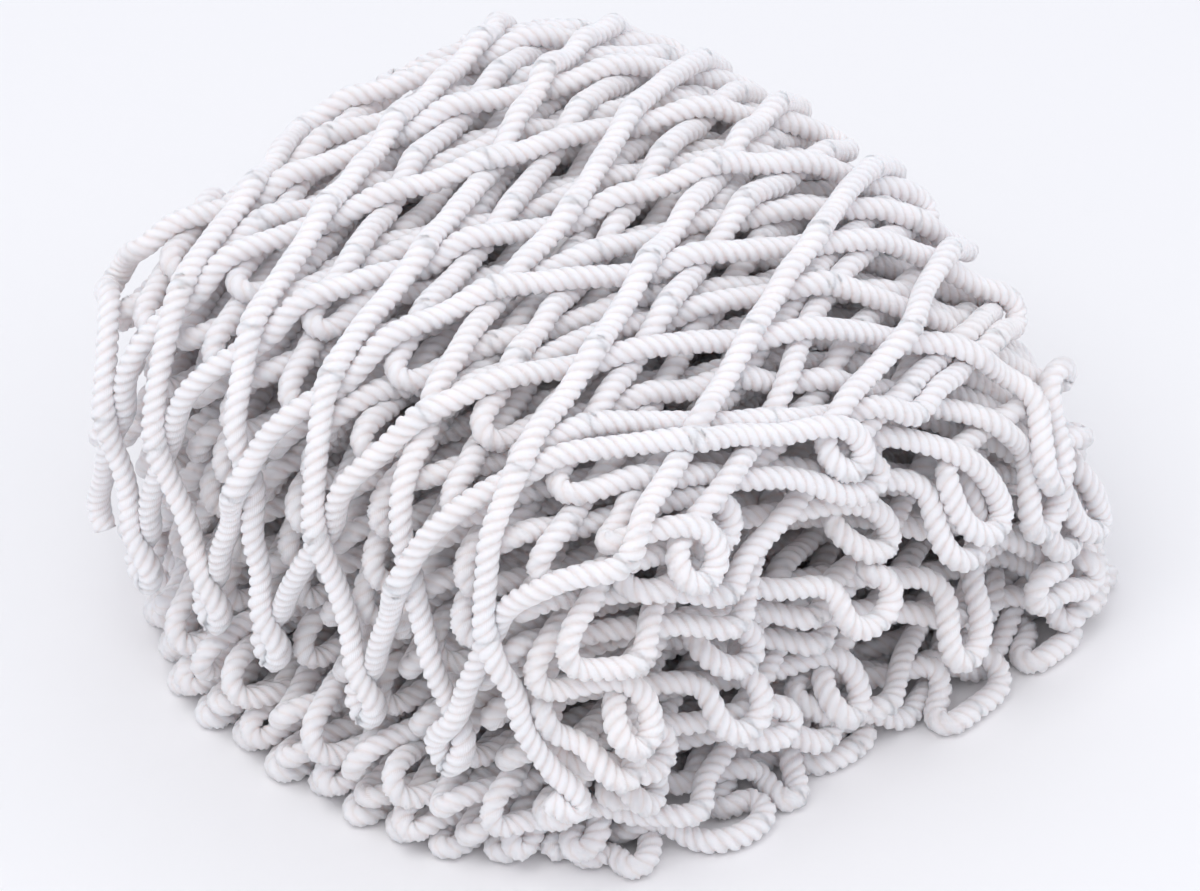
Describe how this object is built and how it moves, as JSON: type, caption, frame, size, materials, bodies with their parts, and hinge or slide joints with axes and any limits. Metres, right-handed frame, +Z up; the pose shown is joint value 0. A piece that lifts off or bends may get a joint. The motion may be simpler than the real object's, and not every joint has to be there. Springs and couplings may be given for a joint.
{
  "type": "cargo climbing net",
  "caption": "Folded pile of a white knotted rope cargo net with diamond mesh, its top layer wrapped down over one side.",
  "frame": {"origin": "middle of the bottom of the folded pile, on the ground", "axes": "+X runs along the folded layers towards the folds that the lifting layers hinge on, +Y along the courses of mesh, +Z up"},
  "size_m": [0.4347, 0.4044, 0.306],
  "materials": {
    "white_rope": "matte"
  },
  "bodies": {
    "lower_pack": {"mesh_rope_01": "white_rope", "mesh_rope_02": "white_rope", "mesh_rope_03": "white_rope", "mesh_rope_04": "white_rope", "mesh_rope_05": "white_rope", "mesh_rope_06": "white_rope", "mesh_rope_07": "white_rope", "mesh_rope_08": "white_rope", "mesh_rope_09": "white_rope", "mesh_rope_10": "white_rope", "mesh_rope_11": "white_rope", "mesh_rope_12": "white_rope", "mesh_rope_13": "white_rope", "mesh_rope_14": "white_rope", "mesh_rope_15": "white_rope", "mesh_rope_16": "white_rope", "mesh_rope_17": "white_rope", "mesh_rope_18": "white_rope"},
    "upper_pack": {"mesh_rope_19": "white_rope", "mesh_rope_20": "white_rope", "mesh_rope_21": "white_rope", "mesh_rope_22": "white_rope", "mesh_rope_23": "white_rope", "mesh_rope_24": "white_rope", "mesh_rope_25": "white_rope", "mesh_rope_26": "white_rope", "mesh_rope_27": "white_rope", "mesh_rope_28": "white_rope", "mesh_rope_29": "white_rope", "mesh_rope_30": "white_rope", "mesh_rope_31": "white_rope", "mesh_rope_32": "white_rope", "mesh_rope_33": "white_rope", "mesh_rope_34": "white_rope", "mesh_rope_35": "white_rope", "mesh_rope_36": "white_rope", "mesh_rope_37": "white_rope", "mesh_rope_38": "white_rope", "mesh_rope_39": "white_rope", "mesh_rope_40": "white_rope", "mesh_rope_41": "white_rope", "mesh_rope_42": "white_rope", "mesh_rope_43": "white_rope", "mesh_rope_44": "white_rope", "mesh_rope_45": "white_rope", "mesh_rope_46": "white_rope", "mesh_rope_47": "white_rope", "mesh_rope_48": "white_rope"},
    "top_flap": {"mesh_rope_49": "white_rope", "mesh_rope_50": "white_rope", "mesh_rope_51": "white_rope", "mesh_rope_52": "white_rope", "mesh_rope_53": "white_rope", "mesh_rope_54": "white_rope"}
  },
  "joints": [
    {"name": "upper_pack_lift", "type": "hinge", "parent": "lower_pack", "child": "upper_pack", "pos_m": [0.19048, 0, 0.0825], "axis": [0, 1, 0], "range_deg": [0, 55], "deforming": ["mesh_rope_18"]},
    {"name": "top_flap_lift", "type": "hinge", "parent": "upper_pack", "child": "top_flap", "pos_m": [0.19048, 0, 0.2505], "axis": [0, 1, 0], "range_deg": [0, 120], "deforming": ["mesh_rope_48"]}
  ]
}
